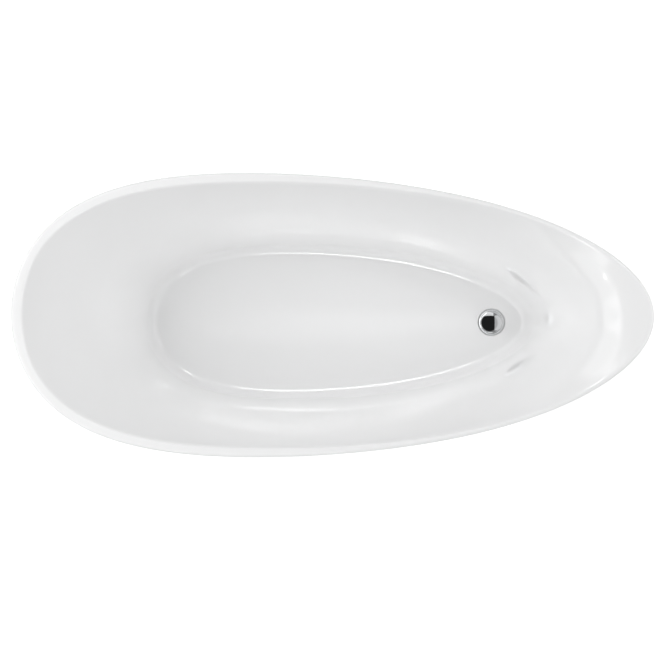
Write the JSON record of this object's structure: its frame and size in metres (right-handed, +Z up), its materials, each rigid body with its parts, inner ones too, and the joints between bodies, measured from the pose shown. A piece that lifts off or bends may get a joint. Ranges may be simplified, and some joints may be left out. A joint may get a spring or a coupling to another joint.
{
  "type": "freestanding bathtub",
  "caption": "Egg-shaped freestanding slipper bath with a high backrest, flush rim, levelling feet and a press-to-open waste.",
  "frame": {"origin": "on the floor, under the middle of the rim's bounding box", "axes": "+X along the length, towards the waste (foot) end; +Y across the width, to the bather's left when facing the waste; +Z up"},
  "size_m": [1.7, 0.75, 0.72],
  "materials": {
    "acrylic": "white sanitary acrylic, high gloss",
    "sealant": "white sanitary silicone, satin",
    "glass_fibre": "laid-up glass fibre and resin",
    "board": "sealed birch plywood",
    "galvanised_tube": "galvanised square steel tube",
    "galvanised_bracket": "galvanised pressed steel",
    "zinc_fastener": "bright zinc plate",
    "zinc_stud": "bright zinc plate, rolled thread",
    "cap_plastic": "black moulded polyethylene",
    "adhesive": "cured elastic adhesive",
    "pad_plastic": "glass-filled nylon, fine texture",
    "chrome": "polished chrome plate",
    "rubber": "moulded black rubber",
    "brass": "machined brass",
    "stainless": "turned stainless steel",
    "spring_steel": "drawn spring wire"
  },
  "bodies": {
    "tub": {"basin": "acrylic", "skirt": "acrylic", "seam_bead": "sealant", "joint_strip": "glass_fibre", "base_board": "board", "left_rail": "galvanised_tube", "right_rail": "galvanised_tube", "head_crossbar": "galvanised_tube", "middle_crossbar": "galvanised_tube", "foot_crossbar": "galvanised_tube", "skirt_brackets": "galvanised_bracket", "board_screws": "zinc_fastener", "weld_nuts": "zinc_fastener", "lock_nuts": "zinc_fastener", "bracket_screws": "zinc_fastener", "tube_end_caps": "cap_plastic", "hem_pads": "adhesive", "waste_body": "chrome", "tail_pipe": "chrome", "tail_nut": "chrome", "waste_gasket": "rubber", "backnut_washer": "rubber", "tail_washer": "rubber", "backnut": "brass", "plug_cartridge": "brass", "plug_spring": "spring_steel"},
    "plug": {"plug_cap": "chrome", "plug_seal": "rubber", "plug_stem": "stainless"},
    "pad_1": {"foot_pad_1": "pad_plastic"},
    "stud_1": {"foot_stud_1": "zinc_stud"},
    "pad_2": {"foot_pad_2": "pad_plastic"},
    "stud_2": {"foot_stud_2": "zinc_stud"},
    "pad_3": {"foot_pad_3": "pad_plastic"},
    "stud_3": {"foot_stud_3": "zinc_stud"},
    "pad_4": {"foot_pad_4": "pad_plastic"},
    "stud_4": {"foot_stud_4": "zinc_stud"},
    "pad_5": {"foot_pad_5": "pad_plastic"},
    "stud_5": {"foot_stud_5": "zinc_stud"}
  },
  "joints": [
    {"name": "plug_lift", "type": "slide", "parent": "tub", "child": "plug", "axis": [0, 0, 1], "range_m": [0, 0.009], "deforming": ["plug_spring"]},
    {"name": "foot_1_height", "type": "slide", "parent": "tub", "child": "pad_1", "axis": [0, 0, -1], "range_m": [-0.0078, 0.014]},
    {"name": "foot_1_turn", "type": "hinge", "parent": "pad_1", "child": "stud_1", "pos_m": [-0.344, 0.16276, 0.06], "axis": [0, 0, -1], "range_deg": [-1620, 2890]},
    {"name": "foot_2_height", "type": "slide", "parent": "tub", "child": "pad_2", "axis": [0, 0, -1], "range_m": [-0.0078, 0.014]},
    {"name": "foot_2_turn", "type": "hinge", "parent": "pad_2", "child": "stud_2", "pos_m": [-0.344, -0.16276, 0.06], "axis": [0, 0, -1], "range_deg": [-1620, 2890]},
    {"name": "foot_3_height", "type": "slide", "parent": "tub", "child": "pad_3", "axis": [0, 0, -1], "range_m": [-0.0078, 0.014]},
    {"name": "foot_3_turn", "type": "hinge", "parent": "pad_3", "child": "stud_3", "pos_m": [0.3351, 0.1205, 0.06], "axis": [0, 0, -1], "range_deg": [-1620, 2890]},
    {"name": "foot_4_height", "type": "slide", "parent": "tub", "child": "pad_4", "axis": [0, 0, -1], "range_m": [-0.0078, 0.014]},
    {"name": "foot_4_turn", "type": "hinge", "parent": "pad_4", "child": "stud_4", "pos_m": [0.3351, -0.1205, 0.06], "axis": [0, 0, -1], "range_deg": [-1620, 2890]},
    {"name": "foot_5_height", "type": "slide", "parent": "tub", "child": "pad_5", "axis": [0, 0, -1], "range_m": [-0.0078, 0.014]},
    {"name": "foot_5_turn", "type": "hinge", "parent": "pad_5", "child": "stud_5", "pos_m": [-0.00445, 0, 0.06], "axis": [0, 0, -1], "range_deg": [-1620, 2890]}
  ],
  "couplings": [
    {"joint": "foot_1_turn", "follows": "foot_1_height", "rad_per_m": 3590.4},
    {"joint": "foot_2_turn", "follows": "foot_2_height", "rad_per_m": 3590.4},
    {"joint": "foot_3_turn", "follows": "foot_3_height", "rad_per_m": 3590.4},
    {"joint": "foot_4_turn", "follows": "foot_4_height", "rad_per_m": 3590.4},
    {"joint": "foot_5_turn", "follows": "foot_5_height", "rad_per_m": 3590.4}
  ]
}
